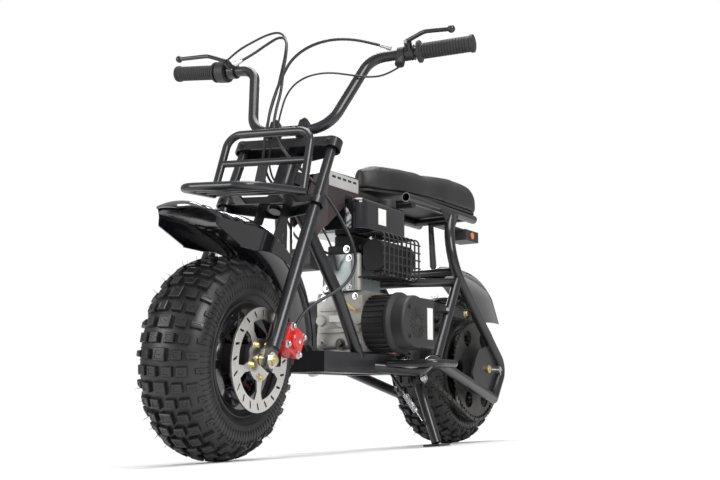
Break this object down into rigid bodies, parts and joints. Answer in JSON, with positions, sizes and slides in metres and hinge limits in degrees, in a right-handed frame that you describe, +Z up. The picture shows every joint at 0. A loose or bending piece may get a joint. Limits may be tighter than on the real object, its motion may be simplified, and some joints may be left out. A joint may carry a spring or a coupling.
{
  "type": "mini dirt bike",
  "caption": "small off-road motor bike with knobby balloon tyres, tube frame, boxy engine, front rack and long seat, leaning on its side stand",
  "frame": {"origin": "middle of the parked bike's base, on the ground it stands on", "axes": "+X the way it faces, +Y to the rider's left, +Z up; the bike leans 4 degrees to its left on its side stand and its bars are turned 7.9 degrees to the left"},
  "size_m": [1.3184, 0.7202, 0.9054],
  "materials": {
    "tyre_rubber": "matt knobby rubber",
    "wheel_black": "satin black",
    "disc_steel": "brushed",
    "zinc_plate": "yellow zinc plate",
    "frame_black": "satin black powder coat",
    "lever_black": "satin black",
    "guard_gloss": "gloss black",
    "black_plastic": "grained black",
    "grip_rubber": "soft black rubber",
    "caliper_red": "gloss red",
    "chain_steel": "dark oiled steel",
    "cast_aluminium": "cast",
    "galvanised": "galvanised sheet",
    "clutch_black": "black cast fins",
    "tank_black": "gloss black",
    "muffler_black": "heat-proof matt black",
    "cover_grey": "satin grey",
    "seat_vinyl": "grained black vinyl",
    "spring_zinc": "bright zinc",
    "cable_sheath": "black sheath"
  },
  "bodies": {
    "frame": {"head_tube": "frame_black", "backbone": "frame_black", "down_tubes": "frame_black", "cradle": "frame_black", "side_hoops": "frame_black", "seat_rails": "frame_black", "frame_braces": "frame_black", "footpegs": "frame_black", "rear_axle": "zinc_plate", "rear_caliper": "caliper_red", "drive_chain": "chain_steel", "crankcase": "cast_aluminium", "cylinder_shroud": "galvanised", "fuel_tank": "tank_black", "fuel_cap": "black_plastic", "muffler": "muffler_black", "muffler_cage": "muffler_black", "air_cleaner": "black_plastic", "recoil_starter": "black_plastic", "clutch_housing": "clutch_black", "clutch_cover": "black_plastic", "chain_guard": "black_plastic", "tank_cover": "cover_grey", "seat_pan": "frame_black", "seat": "seat_vinyl", "rear_guard": "guard_gloss", "tail_box": "black_plastic", "stand_spring": "spring_zinc", "throttle_cable": "cable_sheath", "rear_brake_cable": "cable_sheath", "kill_wire": "cable_sheath"},
    "fork": {"fork_legs": "frame_black", "front_axle": "zinc_plate", "top_yoke": "frame_black", "lower_yoke": "frame_black", "handlebar": "frame_black", "grips": "grip_rubber", "brake_levers": "lever_black", "throttle_housing": "black_plastic", "kill_switch": "black_plastic", "front_rack": "frame_black", "front_guard": "guard_gloss", "guard_bracket": "frame_black", "front_caliper": "caliper_red", "front_brake_cable": "cable_sheath"},
    "front_wheel": {"front_tyre": "tyre_rubber", "front_rim": "wheel_black", "front_hub": "wheel_black", "front_disc": "disc_steel"},
    "rear_wheel": {"rear_tyre": "tyre_rubber", "rear_rim": "wheel_black", "rear_hub": "wheel_black", "rear_disc": "disc_steel", "sprocket": "chain_steel"},
    "side_stand": {"side_stand": "frame_black"}
  },
  "joints": [
    {"name": "steering", "type": "hinge", "parent": "frame", "child": "fork", "pos_m": [0.27826, -0.02399, 0.54463], "axis": [-0.4099, 0.0636, 0.9099], "range_deg": [-42.9, 27.1], "deforming": ["throttle_cable", "rear_brake_cable", "kill_wire"]},
    {"name": "front_wheel_spin", "type": "hinge", "parent": "fork", "child": "front_wheel", "pos_m": [0.46592, -0.04593, 0.1845], "axis": [-0.1254, 0.9842, -0.1253], "continuous": true},
    {"name": "rear_wheel_spin", "type": "hinge", "parent": "frame", "child": "rear_wheel", "pos_m": [-0.41287, -0.04915, 0.18482], "axis": [0, 0.9976, -0.0698], "continuous": true},
    {"name": "side_stand_fold", "type": "hinge", "parent": "frame", "child": "side_stand", "pos_m": [-0.07187, 0.05828, 0.14422], "axis": [0, 0.9552, 0.2959], "range_deg": [0, 75], "deforming": ["stand_spring"]}
  ]
}
